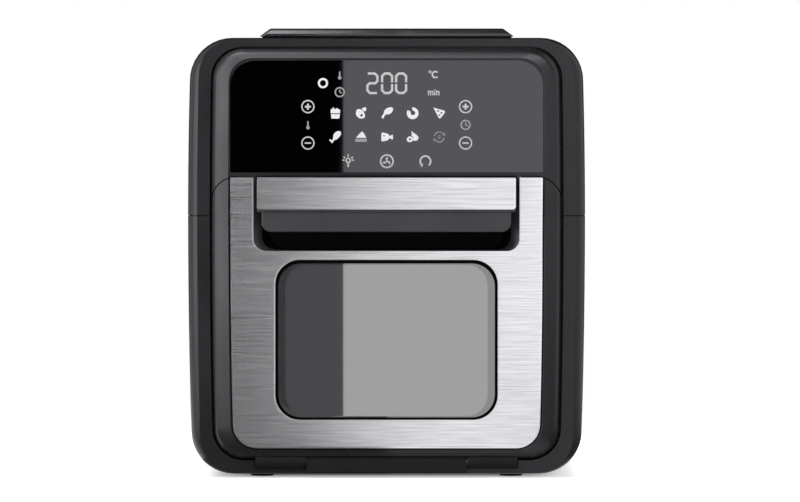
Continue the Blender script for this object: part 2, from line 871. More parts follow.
def standing(x0, x1, z0, z1, y=CARD_Y):
    """Corners of an upright card across the view."""
    return [(x0, y, z0), (x1, y, z0), (x1, y, z1), (x0, y, z1)]


def facing(*corners):
    """Corners of an upright card, from its outline."""
    return [(x, CARD_Y, z) for x, z in corners]


def lying(*corners, z=MAT_Z):
    """Corners of a level card, by default just over the floor."""
    return [(x, y, z) for x, y in corners]


# What the mirrors see: name, brightness and corners of each card
CARDS = (
    ("dark_card", 0.0, standing(-0.42, DARK_EDGE, 0.0, 0.76)),
    ("dark_mat", 0.12, lying((-0.6, CARD_Y), (-0.05, CARD_Y), (-0.05, -0.5), (-0.6, -0.5))),
    ("near_mat", 0.1, lying((-0.6, -0.5), (0.0, -0.5), (0.0, -0.17), (-0.6, -0.17))),
    ("mid_mat", 0.98, lying((-0.05, CARD_Y), (0.17, CARD_Y), (0.17, -0.17), (0.0, -0.17),
                            (0.0, -0.5), (-0.05, -0.5))),
    ("side_mat", 0.15, lying((0.17, CARD_Y), (0.8, CARD_Y), (0.6, 0.3), (0.17, 0.3))),
    ("under_mat_l", 0.25, lying((-0.17, -0.17), (0, -0.17), (0, 0.16), (-0.17, 0.16))),
    ("under_mat_r", 0.5, lying((0, -0.17), (0.17, -0.17), (0.17, 0.16), (0, 0.16))),
    ("left_card_0", 4.9, facing((-0.42, 0.03), (-0.8, 0.03), (-0.8, 0.8), (-0.42, 0.76))),
    ("left_card_1", 3.8, [(-0.8, CARD_Y, 0.03), (-1.15, -0.35, 0.03), (-1.15, -0.35, 0.62),
                          (-0.8, CARD_Y, 0.8)]),
    ("corner_card", 4.0, facing((-0.42, 0.76), (-0.3, 0.76), (-0.3, 1.12), (-0.5, 1.15), (-1.1, 0.85))),
    ("top_card", 5.4, standing(-0.3, 0.6, 0.72, 1.0)),
    ("top_dim", 1.9, standing(-0.3, 0.6, 1.0, 1.22)),
    ("top_shade", 0.0, standing(-0.09, 1.2, 1.25, SHADE_Z)),
    ("over_shade", 0.0, lying((-0.09, CARD_Y), (1.2, CARD_Y), (1.2, 1.1), (-0.09, 1.1), z=SHADE_Z)),
    ("corner_shade", 0.0, standing(0.6, 1.3, 0.6, 1.25)),
    ("back_shade", 0.0, standing(-1.5, 1.5, 0.0, SHADE_Z, 1.1)),
    ("edge_card", 1.6, standing(0.22, 0.32, 0.0, 0.6)),
    ("low_card", 0.3, standing(0.42, 1.3, 0.0, 0.1)),
    ("hump_card", 9.0, standing(-1.0, -0.09, 1.25, 2.4)),
)
# Name, place, aim, size and power of each lamp
LAMPS = (
    ("key", (-1.1, -1.3, 1.5), (0, -0.1, 0.2), (0.9, 0.9), 26),
    ("top", (0.1, 0.2, 2.2), (0, 0, 0.2), (1.6, 1.6), 38),
    ("fill", (1.5, -1.4, 0.9), (0, 0, 0.2), (0.8, 1.0), 8),
)


def make_stage():
    bpy.context.scene.view_settings.view_transform = "Standard"
    make_camera()
    pale_world(AMBIENT)
    make_floor()
    for name, level, corners in CARDS:
        card(name, level, corners)
    for lamp in LAMPS:
        soft_lamp(*lamp)


make_stage()


# ---------- housing ----------

FRONT_ROUND = 11
LIP_TURN = 68
LIP_EDGE = 0.6
LIP_LEAN = 1.06
LIP_STEP = 2
SEAM_GAP = 0.35
KNUCKLE_R = 6.3
HINGE_Y = LIP_Y - 1.5
HINGE_Z = 14
BLOCK_HALF = 65.8
KNUCKLE_SPAN = (67, 109)
KNUCKLE_EDGE = 0.5
ROD_R = 2.5
ROD_EDGE = 0.5
BLOCK_STRETCH = 1.012
BLOCK_FRONT = 0.68


def above_seam(loop):
    """The open path of a body-like outline from its right seam over the top to the left."""
    right = [p for p in loop[:len(loop) // 2] if p[1] >= SEAM_Z - 0.01]
    return right[::-1] + [(-u, w) for u, w in right]


def below_seam(loop):
    """The open path from its right seam under the bottom to the left."""
    return mirrored([p for p in loop[:len(loop) // 2] if p[1] <= SEAM_Z + 0.01])


def shell_loops():
    """(loop, depth) pairs round the wall of the housing: outside, lip, recess, inside."""
    lip = upright(LIP_WIDTHS, LIP_HEIGHTS, (LIP_R, LIP_R))
    outside = body()
    steps = [(body(-0.5), COVER_Y), (body(-0.15), COVER_Y - 0.15), (outside, COVER_Y - 0.6)]
    full = math.radians(LIP_TURN)
    for k in range(9):
        turn = math.radians(LIP_TURN * k / 8)
        depth = LIP_Y + FRONT_ROUND * (1 - math.sin(turn) / math.sin(full))
        share = (1 - math.cos(turn)) / (1 - math.cos(full))
        steps.append((mixed(outside, lip, share), depth))
    steps.append((mixed(outside, lip, LIP_LEAN), LIP_Y))
    for k in range(4):
        turn = math.radians(30 * k)
        recess = front(LIP_GAP + LIP_EDGE * (1 - math.sin(turn)))
        steps.append((recess, LIP_Y + LIP_EDGE * (1 - math.cos(turn))))
    steps += [(front(LIP_GAP), FRAME_Y), (front(LIP_GAP + LIP_STEP), FRAME_Y)]
    steps += [(front(LIP_GAP + LIP_STEP), LIP_Y + WALL), (body(-WALL - 6), LIP_Y + WALL)]
    return steps + [(body(-WALL), LIP_Y + FRONT_ROUND + 2), (body(-WALL), COVER_Y)]


def make_shell(name, half, seam_shift):
    """One half of the housing, closed at its two seam ends."""
    shape = Shape()
    rings = []
    for loop, depth in shell_loops():
        path = half(loop)
        path[0] = (path[0][0], path[0][1] + seam_shift)
        path[-1] = (path[-1][0], path[-1][1] + seam_shift)
        rings.append(shape.ring(at_y(path, depth)))
    shape.skin(rings, closed=False, wrap=True)
    shape.fill([ring[0] for ring in rings])
    shape.fill([ring[-1] for ring in rings])
    return put(shape, name)


def block_clearance():
    """Tool for the room of the hinge block in the lower shell's lip."""
    loop = [(LIP_Y + 7, BOTTOM_Z + 20), (LIP_Y + 7, BOTTOM_Z + 5)]
    loop += [(LIP_Y - 1, BOTTOM_Z + 5), (LIP_Y - 1, BOTTOM_Z + 20)]
    return prism(loop, -BLOCK_HALF - 0.2, BLOCK_HALF + 0.2, at_x)


def make_housing():
    make_shell("upper_shell", above_seam, SEAM_GAP)
    lower = make_shell("lower_shell", below_seam, -SEAM_GAP)
    cut(lower, hinge_bar(KNUCKLE_R + 0.35, KNUCKLE_SPAN[1] + 0.4))
    cut(lower, block_clearance())


# ---------- front: control panel and door ----------

# (share of the way to the rim, share of the depth) along the skirt's profile
SKIRT = ((0, 0), (0.04, 0.3), (0.11, 0.5), (0.19, 0.65), (0.29, 0.75), (0.43, 0.83), (0.59, 0.885))
SKIRT += ((0.8, 0.945), (1, 1))
RIM_ROUND = ((0.1, 0.0), (0.35, 0.12), (0.5, 0.35), (0.6, 0.6))
DOOR_TOP_R = 22
DOOR_HALF = 145.4
DOOR_GAP = 0.9
BEYOND_X = 172
HOLLOW_HALF = 137
GLASS_T = 3
GLASS_HALF = 130
GLASS_EDGES = (SPLIT_Z + 3.2, BOTTOM_Z + 344.2)
POCKET_HALF = 110.4
POCKET_R = 10.4
POCKET_Z = BOTTOM_Z + 186
# (how far the wall has closed in, depth behind the plate) down the pocket's sides
POCKET_SIDES = ((-0.6, 0.1), (1.5, 1.0), (4.0, 3.2), (7.0, 7.0), (9.5, 12.0), (11.5, 17.0), (12.5, 20.0))
WINDOW_EDGES = (BOTTOM_Z + 47.8, BOTTOM_Z + 175.6)
OPENING_EDGES = (BOTTOM_Z + 45.8, BOTTOM_Z + 178.6)
WINDOW_R = 19
WINDOW_HALF = high("outer_window_glass").x - 2.1
PLATE_T = 0.8
PLATE_WIDTHS = (129.8, 129.4, 127)
PLATE_TOP = SPLIT_Z - 1
PLATE_LOWER = (BOTTOM_Z + 180, BOTTOM_Z + 22)
PLATE_RADII = (0.8, 20)
BED_TOP = SPLIT_Z + 4
BED_GAP = 1.1
GROOVE_DEPTH = 2.7
CHAMFER_T = 0.04
TRIM_T = 1.5
GRIP_HALF = high("handle_grip").x


def proud_loops(back):
    """The proud front from its back face over the rounded skirt to the rim."""
    loops = [at_y(front(), back), at_y(front(), LIP_Y + 1)]
    for share, depth in SKIRT:
        loops.append(at_y(mixed(front(), rim(), share), LIP_Y + (PLATE_Y - LIP_Y) * depth))
    loops.append(at_y(rim(-0.2), PLATE_Y - 0.03))
    loops += [at_y(rim(-inset), PLATE_Y + drop) for inset, drop in RIM_ROUND]
    return loops


def proud_front(back):
    """The whole proud front as one solid, which the bezel and the door are cut from."""
    return Shape().solid(proud_loops(back)).mesh()


def door_space(gap):
    """Tool in the shape of the room that the door takes, rounded at its top corners."""
    r = DOOR_TOP_R + gap
    top = SPLIT_Z - 0.4 + gap
    right = arc(DOOR_HALF + gap - r, top - r, r, 90, 14)
    right += [(BEYOND_X, right[-1][1]), (BEYOND_X, BOTTOM_Z - 20)]
    return prism(mirrored(right), PLATE_Y - 20, FRAME_Y + 20)


def glass_loop(grow=0.0):
    return panel(GLASS_HALF, *GLASS_EDGES, 21, 1, grow)


def window_loop(grow=0.0):
    return panel(WINDOW_HALF, *WINDOW_EDGES, WINDOW_R, WINDOW_R, grow)


def plate_window(grow=0.0):
    """The steel plate's opening for the window."""
    return panel(WINDOW_HALF + 2.5, *OPENING_EDGES, WINDOW_R + 1.5, WINDOW_R + 1.5, grow)


def plate_loop(grow=0.0):
    """The steel plate, which runs round the handle pocket and is open at its top."""
    r = POCKET_R - grow
    pocket_half, pocket_z = POCKET_HALF - grow, POCKET_Z + grow
    right = arc(pocket_half - r, pocket_z + r, r, -90, 0)
    right.append((pocket_half, PLATE_TOP + grow))
    return mirrored(right + right_half(PLATE_WIDTHS, (PLATE_TOP, *PLATE_LOWER), PLATE_RADII, grow))


def pocket_wall(draft):
    """Cross-section of the pocket, which closes in at its sides more than at its bottom."""
    rise = max(draft, 0) * 0.12 + min(draft, 0)
    return panel(POCKET_HALF - draft, POCKET_Z + rise, SPLIT_Z + 6, 1, 11.5)


def make_bezel():
    """The part of the proud front above the door, with the seat of the touch glass."""
    bezel = put(proud_front(FRAME_Y), "panel_bezel")
    cut(bezel, door_space(DOOR_GAP))
    cut(bezel, prism(glass_loop(0.15), PLATE_Y - 1, PLATE_Y + GLASS_T))
    hollow = panel(HOLLOW_HALF, SPLIT_Z + 5, BOTTOM_Z + 348, 20, 3)
    cut(bezel, prism(hollow, PLATE_Y + 5.5, FRAME_Y + 1))


def make_control_glass():
    put(Shape().slab(at_y, glass_loop, [], PLATE_Y, PLATE_Y + GLASS_T, 0.06), "control_glass")


def make_door_frame():
    """The door's moulding with its window, pocket, plate bed and hinge barrels."""
    door = put(proud_front(LINER_Y - 1), "door_frame")
    cut(door, door_space(0), "INTERSECT")
    cut(door, prism(panel(HOLLOW_HALF, BOTTOM_Z + 24, SPLIT_Z - 8, 18, 18), PLATE_Y + 6, FRAME_Y))
    cut(door, prism(window_loop(-5), PLATE_Y - 1, FRAME_Y))
    cut(door, prism(plate_bed(), PLATE_Y - 1, PLATE_Y + PLATE_T))
    cut(door, groove())
    cut(door, prism(plate_window(0.3), PLATE_Y - 1, PLATE_Y + 4.2))
    cut(door, prism(panel(POCKET_HALF + 2, POCKET_Z - 2, SPLIT_Z + 4, 1, 11), PLATE_Y - 1, FRAME_Y))
    shape_hinge_side(door)
    paint_door(door)


def shape_hinge_side(door):
    """Barrels at both ends of the hinge rod, and room for the block between them."""
    for way in (-1, 1):
        cut(door, knuckle(way), "UNION")
    cut(door, hinge_bar(KNUCKLE_R + 0.8, KNUCKLE_SPAN[0]))
    notch = [(HINGE_Y - 20, -5), (HINGE_Y + 8, -5), (HINGE_Y + 8, HINGE_Z + 2.4)]
    notch.append((HINGE_Y - 20, HINGE_Z + 2.4))
    cut(door, prism(notch, -KNUCKLE_SPAN[0], KNUCKLE_SPAN[0], at_x))
    cut(door, hinge_bar(ROD_R + 0.05, KNUCKLE_SPAN[1] - 3))


def paint_door(door):
    """Rubber-black barrels, and matt black at the bottom of the groove round the plate."""
    for finish in ("rubber_black", "display_black"):
        door.data.materials.append(FINISHES[finish])
    last = len(door.data.materials) - 1
    axis = Vector((HINGE_Y, HINGE_Z)) * MM
    for face in door.data.polygons:
        away = (face.center.yz - axis).length / MM
        depth = face.center.y / MM - PLATE_Y
        if away < KNUCKLE_R + 0.9 and face.center.z < (HINGE_Z + 6) * MM:
            face.material_index = last - 1
        elif face.normal.y < -0.9999 and 2 < depth < 5:
            face.material_index = last


def hinge_turned(profile):
    """Tool turned round the hinge axis; the profile is (radius, x) pairs."""
    return Shape().turned(at_x, (HINGE_Y, HINGE_Z), profile, 48).mesh()


def hinge_bar(r, reach):
    return hinge_turned([(r, -reach), (r, reach)])


def knuckle(way):
    """Barrel of the door round one end of the hinge rod."""
    near, far = KNUCKLE_SPAN
    ends = ((0, KNUCKLE_EDGE), (0.15, 0.15), (KNUCKLE_EDGE, 0))
    profile = [(KNUCKLE_R - drop, way * (near + step)) for step, drop in ends]
    profile += [(KNUCKLE_R - drop, way * (far - step)) for step, drop in ends[::-1]]
    return hinge_turned(profile)


def make_hinge():
    """The hinge block, with its front slimmed round its bore, and the rod."""
    block = softened("hinge_block", 0.6, 3)
    for vert in block.vertices:
        vert.co.x *= BLOCK_STRETCH
        ahead = vert.co.y / MM - HINGE_Y
        if ahead < 0 and math.hypot(ahead, vert.co.z / MM - HINGE_Z) > ROD_R + ROD_EDGE:
            vert.co.y = (HINGE_Y + ahead * BLOCK_FRONT) * MM
    put(repainted(block, lambda at: 1), "hinge_block", "rubber_black")
    half = high("hinge_rod").x
    tip = ROD_R - ROD_EDGE
    profile = [(tip, -half), (ROD_R, ROD_EDGE - half), (ROD_R, half - ROD_EDGE), (tip, half)]
    put(Shape().turned(at_x, (HINGE_Y, HINGE_Z), profile, 24), "hinge_rod")


def plate_bed(grow=0.0):
    """The recess in the door that the steel plate lies in."""
    return upright(PLATE_WIDTHS, (BED_TOP, *PLATE_LOWER), PLATE_RADII, BED_GAP + grow)


def chamfered(near, far):
    """Steps of a sheet with a wide shallow chamfer at its near face."""
    return [(near, 1.3), (near + CHAMFER_T, 0.1), (near + CHAMFER_T + 0.1, 0), (far, 0)]


def groove():
    """Tool for the dark gap round the steel plate."""

    def inner(grow):
        return plate_bed(grow - 3)

    return Shape().slab(at_y, plate_bed, [inner], PLATE_Y - 1, PLATE_Y + GROOVE_DEPTH, 0.01).mesh()


def make_steel_plate():
    steps = chamfered(PLATE_Y, PLATE_Y + PLATE_T)
    put(Shape().plate(at_y, plate_loop, [plate_window], steps, 1), "door_steel_plate")


def make_handle():
    """The grip, with a skirt below it and an arm to the door, and its steel trim."""
    bar = opening(GRIP_HALF, BOTTOM_Z + 218.5, SPLIT_Z - 0.6, 0.8, r_bottom=1.5)
    skirt = opening(GRIP_HALF - 3.8, BOTTOM_Z + 202, BOTTOM_Z + 226, 2, r_bottom=7.5)
    arm = opening(GRIP_HALF, SPLIT_Z - 7.8, SPLIT_Z - 0.6, 0.8)
    trim = opening(GRIP_HALF, BOTTOM_Z + 220.7, SPLIT_Z - 1, 1, r_bottom=2.5)
    near, back = HANDLE_Y + TRIM_T, HANDLE_Y + 13.5
    grip = put(Shape().slab(at_y, bar, [], near, back, 0.5), "handle_grip")
    cut(grip, Shape().slab(at_y, skirt, [], HANDLE_Y + 3, back, 1.0).mesh(), "UNION")
    cut(grip, Shape().slab(at_y, arm, [], HANDLE_Y + 10, LIP_Y, 0.5).mesh(), "UNION")
    put(Shape().plate(at_y, trim, [], chamfered(HANDLE_Y, near), 1), "handle_trim")


def make_pocket():
    """Cup behind the handle, with walls that close in towards its dark back."""
    back = LINER_Y - 2.5
    near = PLATE_Y + PLATE_T
    loops = [at_y(pocket_wall(-1.6), near), at_y(pocket_wall(-1.2), near)]
    loops += [at_y(pocket_wall(draft), near + depth) for draft, depth in POCKET_SIDES]
    loops.append(at_y(pocket_wall(14), back))
    shape = Shape()
    rings = shape.rings(loops)
    shape.skin(rings[:6])
    outer = shape.ring(at_y(pocket_wall(-1.6), back + 1.2))
    shape.skin([rings[0], outer]).fill(outer).painted(0)
    shape.skin(rings[5:]).fill(rings[-1]).painted(1)
    put(shape, "handle_pocket", "display_black")


def make_window():
    """Outer pane with a darker edge, wide at its sides and narrow above and below."""
    z0, z1 = WINDOW_EDGES
    near = PLATE_Y + 0.2
    shape = Shape()
    loops = [at_y(window_loop(), near + 4), at_y(window_loop(), near + 0.15)]
    loops.append(at_y(panel(WINDOW_HALF - 6, z0 + 1.2, z1 - 1.2, 17, 17), near))
    rings = shape.rings(loops)
    shape.skin(rings).fill(rings[0]).painted(1)
    shape.fill(rings[-1]).painted(0)
    put(shape, "outer_window_glass", "window_edge")


# ---------- control panel marks ----------

MARK_T = 0.1
KEY_COLUMNS = (-42.4, -21.2, 0.6, 21.7, 43.8)
KEY_ROWS = (300.5, 280.6)
DIGIT_W = 8.3
DIGIT_H = 16.2
DIGIT_STROKE = 1.9
DIGIT_CORNER = 2.2
CLOCK_R = 3.7
LETTER_HALF = 1.9
LETTER_STROKE = 0.9


def stroke(points, width):
    """Outline of a line of a width along the points, as a symbol part with one loop."""
    path = [Vector(p) for p in points]
    left, right = [], []
    for before, here, after in zip(path[:1] + path, path, path[1:] + path[-1:]):
        ways = [(q - p).normalized() for p, q in ((before, here), (here, after)) if p != q]
        normal = sum((Vector((-w.y, w.x)) for w in ways), Vector((0, 0))).normalized()
        reach = width / 2 / max(normal.dot(Vector((-ways[0].y, ways[0].x))), 0.3)
        left.append(tuple(here + normal * reach))
        right.append(tuple(here - normal * reach))
    return [left + right[::-1]]


def smooth(points):
    """A closed curve through the points."""
    count = len(points)
    loop = []
    for k in range(count):
        a, b, c, d = [Vector(points[(k + j) % count]) for j in (-1, 0, 1, 2)]
        for t in (0, 0.2, 0.4, 0.6, 0.8):
            bend = (2 * a - 5 * b + 4 * c - d) * t * t + (3 * b - 3 * c + d - a) * t ** 3
            loop.append(tuple(b + ((c - a) * t + bend) / 2))
    return loop


def ellipse(cu, cw, a, b, turn):
    """Closed loop of half-axes a and b, turned by degrees."""
    c, s = math.cos(math.radians(turn)), math.sin(math.radians(turn))
    return [(cu + a * u * c - b * w * s, cw + a * u * s + b * w * c) for u, w in circle(0, 0, 1, 24)]


def ring_mark(r, width, cu=0.0, cw=0.0):
    return [circle(cu, cw, r + width / 2), circle(cu, cw, r - width / 2)]


def zero_digit():
    """Two open halves of a seven-segment zero."""
    w, h, c = DIGIT_W / 2, DIGIT_H / 2, DIGIT_CORNER
    half = [(-w, 0.7), (-w, h - c), (c - w, h), (w - c, h), (w, h - c), (w, 0.7)]
    return [stroke([(u, way * v) for u, v in half], DIGIT_STROKE) for way in (1, -1)]


def two_digit():
    """A seven-segment two with cut corners."""
    w, h, c = DIGIT_W / 2, DIGIT_H / 2, DIGIT_CORNER
    path = [(-w + 0.4, h), (w - c, h), (w, h - c), (w, c - 0.4), (w - c + 0.4, 0), (c - w - 0.4, 0)]
    path += [(-w, 0.4 - c), (-w, c - h), (c - w, -h), (w - 0.4, -h)]
    return [stroke(path, DIGIT_STROKE)]


def plus_sign():
    """A cross, from four quarter turns of one arm's corners."""
    arm = [(0.8, 0.8), (2.5, 0.8), (2.5, -0.8)]
    loop = []
    for _ in range(4):
        loop += arm
        arm = [(w, -u) for u, w in arm]
    return [loop]


def thermometer():
    """A thin stem on a bulb."""
    return [[arc(0, -2.3, 1.5, 65, -245, 16) + arc(0, 2.6, 0.6, 180, 0, 6)]]


def clock_face():
    hands = [(0, CLOCK_R * 0.55), (0, 0), (CLOCK_R * 0.45, -CLOCK_R * 0.2)]
    return [ring_mark(CLOCK_R, 1.2), stroke(hands, 1.0)]


def fries():
    tops = [(-3.9, -0.2), (-3.9, 3.2), (-2.6, 3.2), (-2.4, 4.5), (-1.1, 4.5), (-0.9, 3.3), (0.4, 3.3)]
    tops += [(0.7, 4.0), (2.0, 4.0), (2.2, 3.0), (3.9, 3.0), (3.9, -0.2)]
    return [[tops], [[(-3.7, -0.9), (3.7, -0.9), (3.3, -4.6), (-3.3, -4.6)]]]


def steak():
    meat = smooth([(-4.2, 0.5), (-3.0, 3.0), (-0.6, 3.2), (1.6, 1.8), (3.0, -0.8), (3.2, -3.2),
                   (1.4, -4.6), (-1.4, -4.2), (-3.6, -2.2)])
    leaf = smooth([(0.9, 3.2), (2.2, 4.6), (4.2, 4.4), (4.4, 2.8), (3.2, 1.4)])
    return [[meat, circle(0.5, -1.9, 1.1, 16)], [leaf]]


def drumstick():
    return [[smooth([(-4.4, -2.6), (-4.6, -4.0), (-3.0, -4.4), (-2.4, -2.8), (-1.0, -1.2), (1.6, -1.0),
                     (4.0, 0.8), (4.9, 3.4), (3.4, 4.8), (0.2, 4.2), (-2.4, 2.0), (-2.9, -0.4)])]]


def shrimp():
    return [[arc(0, -0.2, 4.9, 96, -212, 26) + arc(0.2, 0.1, 1.9, -212, 96, 20)]]


def pizza():
    piece = [(-4.9, 4.5), (4.3, 1.9), (4.9, 0.6), (1.0, -4.4), (-0.4, -4.2)]
    return [[piece, circle(-1.0, 1.6, 0.8, 12), circle(1.7, 0.2, 0.8, 12), circle(0.2, -1.7, 0.7, 12)]]


def roast_leg():
    return [[smooth([(-2.0, -1.8), (-3.2, -2.6), (-4.6, -1.8), (-4.9, -3.2), (-3.6, -3.8), (-3.2, -5.0),
                     (-1.9, -4.4), (-1.2, -2.8), (1.4, -1.8), (4.4, 1.6), (4.4, 4.4), (1.6, 4.8),
                     (-1.4, 2.2)])]]


def cake():
    return [[[(-4.2, -0.6), (-0.9, 3.0), (0.9, 4.6), (2.2, 3.6), (4.4, -0.6)]]]


def cake_base():
    return [[[(-4.6, -1.4), (4.8, -1.4), (4.8, -4.0), (-4.6, -4.0)]]]


def fish():
    return [[smooth([(-4.6, 3.4), (-4.9, 0.0), (-4.6, -3.4), (-2.2, -3.2), (0.6, -2.6), (2.2, -0.9),
                     (4.2, -2.2), (4.8, 0.0), (4.2, 2.0), (2.2, 0.9), (0.6, 2.6), (-2.4, 3.4)]),
             circle(-2.6, 1.0, 0.6, 12)]]


def fruit():
    banana = smooth([(-1.0, 4.8), (1.0, 3.4), (3.4, 1.6), (4.8, -0.6), (3.6, -2.8), (0.6, -2.9),
                     (0.4, -0.2), (-0.9, 1.4), (-0.6, 3.2)])
    return [[banana], [ellipse(-2.3, -1.9, 2.6, 2.4, 20), circle(-2.3, -1.9, 0.9, 12)]]


def swirl():
    """Two arcs with arrow ends round a dot."""
    shapes = [[circle(0, 0, 1.7, 20)]]
    for way in (1, -1):
        bow = [(way * u, way * w) for u, w in arc(0, 0, 4.1, 168, 42, 12)]
        head = [(way * u, way * w) for u, w in ((1.9, 2.2), (4.9, 0.6), (4.8, 3.9))]
        shapes += [stroke(bow, 1.3), [head]]
    return shapes


def bulb():
    """A lamp's glass and cap, with five rays."""
    globe = smooth([(-2.3, 0.9), (0, 3.2), (2.3, 0.9), (1.0, -1.5), (-1.0, -1.5)])
    shapes = [[globe, circle(0, 0.8, 1.2, 16)]]
    shapes.append([[(-0.9, -2.1), (0.9, -2.1), (0.7, -4.8), (-0.7, -4.8)]])
    for turn in (90, 35, 145, 0, 180):
        t = math.radians(turn)
        shapes.append(stroke([(r * math.cos(t), 0.9 + r * math.sin(t)) for r in (3.0, 4.8)], 1.1))
    return shapes


def fan_key():
    """A ring round three blades and a hub."""
    shapes = [ring_mark(5.2, 1.3), [circle(0, 0, 0.9, 16)]]
    for k in range(3):
        t = math.radians(90 + 120 * k)
        shapes.append([ellipse(2.2 * math.cos(t), 2.2 * math.sin(t), 1.5, 0.8, 120 * k + 60)])
    return shapes


def turn_key():
    """An open ring with an arrow head at one end."""
    return [stroke(arc(0, 0, 4.3, 222, -52, 30), 1.5), [[(-1.6, -2.0), (-4.9, -2.4), (-2.8, -5.2)]]]


def degree_c():
    return [ring_mark(0.9, 0.7, -3.4, 2.2), stroke(arc(0.9, 0, 2.5, 45, 315, 16), 1.3)]


def minutes():
    """The letters m, i and n for the timer's unit."""
    h = LETTER_HALF
    shapes = []
    for cu, humps in ((-2.6, 2), (3.2, 1)):
        x = cu - 0.95 * humps
        shapes.append(stroke([(x, -h), (x, h)], LETTER_STROKE))
        for k in range(humps):
            edge = x + h * (k + 1)
            hump = [(edge - 1.4, 1.4), (edge - 0.5, 1.4), (edge, 0.9), (edge, -h)]
            shapes.append(stroke(hump, LETTER_STROKE))
    shapes.append(stroke([(0.75, -h), (0.75, 1.2)], LETTER_STROKE))
    return shapes + [[circle(0.75, 2.4, 0.55, 10)]]


def key_ring(inner):
    """A symbol's part inside a touch key's ring."""
    return [ring_mark(5.0, 1.1), inner]


def marks():
    """The prints on the glass by finish: (symbol, x, height above the body's bottom)."""
    minus = [[(-2.6, -0.6), (2.6, -0.6), (2.6, 0.6), (-2.6, 0.6)]]
    foods = (fries, steak, drumstick, shrimp, pizza), (roast_leg, cake, fish, fruit)
    white = [(food(), x, z) for row, z in zip(foods, KEY_ROWS) for food, x in zip(row, KEY_COLUMNS)]
    white.append(([ring_mark(3.4, 1.7)], -52.7, 325.3))
    soft = [(two_digit(), -11.7, 325.2), (zero_digit(), 0.5, 325.2), (zero_digit(), 12.1, 325.2)]
    soft += [(degree_c(), 39.6, 332.4), (minutes(), 39.3, 317.1)]
    for x in (-65.2, 65.6):
        soft += [(key_ring(plus_sign()), x, 305.8), (key_ring(minus), x, 275.6)]
    soft += [(fan_key(), 0.3, 260.5), (bulb(), -31.8, 260.5), (turn_key(), 32.3, 260.5)]
    dim = [(thermometer(), -38.8, 332.0), (clock_face(), -38.8, 317.8), (thermometer(), -65.2, 290.7)]
    dim += [(clock_face(), 65.6, 290.7), (cake_base(), -21.2, 280.6), (swirl(), 43.8, 280.6)]
    return {"marks_white": white, "marks_soft": soft, "marks_dim": dim}


def make_marks():
    for name, prints in marks().items():
        shape = Shape()
        for symbol, x, z in prints:
            for loops in symbol:
                placed = [[(x + u, BOTTOM_Z + z + w) for u, w in loop] for loop in loops]
                stamp(shape, placed, PLATE_Y, PLATE_Y - MARK_T)
        show(shape.mesh(name), "panel_" + name, [name], "housing")


def stamp(shape, loops, base, face):
    """A flat plate in the shape of the first loop, with the others as holes."""
    sides = [shape.rings([at_y(loop, base), at_y(loop, face)]) for loop in loops]
    for pair in sides:
        shape.skin(pair)
    shape.capped(sides)


def make_front():
    make_bezel()
    make_control_glass()
    make_marks()
    make_hinge()
    make_door_frame()
    make_steel_plate()
    make_handle()
    make_pocket()
    make_window()


# ---------- back, top and bottom of the housing ----------

VENT_HALF = 2.5
HOOD_T = 2.5
CORD_X = 105
CORD_Z = BOTTOM_Z + 42
HUMP_FRONT = low("top_vent_cover").y
HUMP_BACK = high("top_vent_cover").y
HUMP_Z = high("top_vent_cover").z
HUMP_HALF = 107.5
# (share of the height, distance behind the hump's front edge) up its front face
HUMP_FACE = ((0, 0), (0.3, 0.24), (0.34, 0.3), (0.72, 1.47), (0.78, 1.8), (0.9, 3.0), (0.97, 4.5))
HUMP_FACE += ((1.0, 6.5),)
SCREW_R = 1.6
BASE_SCREWS = [(way * 121, y) for way in (-1, 1) for y in (-70, 20, 110)]
REAR_SCREWS = [(way * 146, z) for way in (-1, 1) for z in (60, 190, 300)]
DOOR_SCREWS = [(way * 131.5, z) for way in (-1, 1) for z in (48, 130, 205)]


def screw_mesh():
    """A pan-head screw along Z with a cross recess in its head, which faces down."""
    profile = [(0, 4.5), (1.2, 4.5), (SCREW_R, 4.1), (SCREW_R, 0.05), (3.2, 0.05), (3.4, -0.2)]
    profile += [(3.35, -0.8), (2.9, -1.4), (1.9, -1.7), (0, -1.8)]
    tools = []
    for w, h in ((0.42, 2.0), (2.0, 0.42)):
        taper = [at_z(rectangle(0, 0, w * s, h * s, 0.05), z) for z, s in ((-2.5, 1), (-0.7, 0.8))]
        tools.append(Shape().solid(taper).mesh())
    return carved(Shape().turned(at_z, (0, 0), profile, 24).mesh(), *tools)


def screws(node, spots):
    """spots are (place, turn round X in degrees) pairs; each head has its own turn."""
    shape = Shape()
    blank = screw_mesh()
    for k, (place, turn) in enumerate(spots):
        matrix = Matrix.Translation(Vector(place) * MM) @ Matrix.Rotation(math.radians(turn), 4, "X")
        shape.join(blank, matrix @ Matrix.Rotation(k * 0.7, 4, "Z"))
    put(shape, node)


def make_rear_cover():
    """Rear cover with vent slots at its top and bottom, and holes for duct, cord and screws."""
    slots = [opening(VENT_HALF, TOP_Z - 62, TOP_Z - 24, cu=x) for x in range(-96, 97, 12)]
    slots += [opening(VENT_HALF, BOTTOM_Z + 30, BOTTOM_Z + 70, cu=x) for x in range(-84, 61, 12)]
    slots.append(opening(27, CEILING_Z + 7, CEILING_Z + 27, 1))
    slots.append(round_opening(CORD_X, CORD_Z, 7))
    slots += [round_opening(x, z, SCREW_R) for x, z in REAR_SCREWS]
    edge = [(REAR_Y, 2.6), (REAR_Y - 0.2, 1.4), (REAR_Y - 0.8, 0.5), (REAR_Y - 1.8, 0)]
    edge += [(COVER_Y + 0.4, 0), (COVER_Y, 0.4)]
    bore = rounded_steps(REAR_Y, COVER_Y, 0.5)
    put(Shape().plate(at_y, body, slots, edge, hole_steps=bore), "rear_cover")


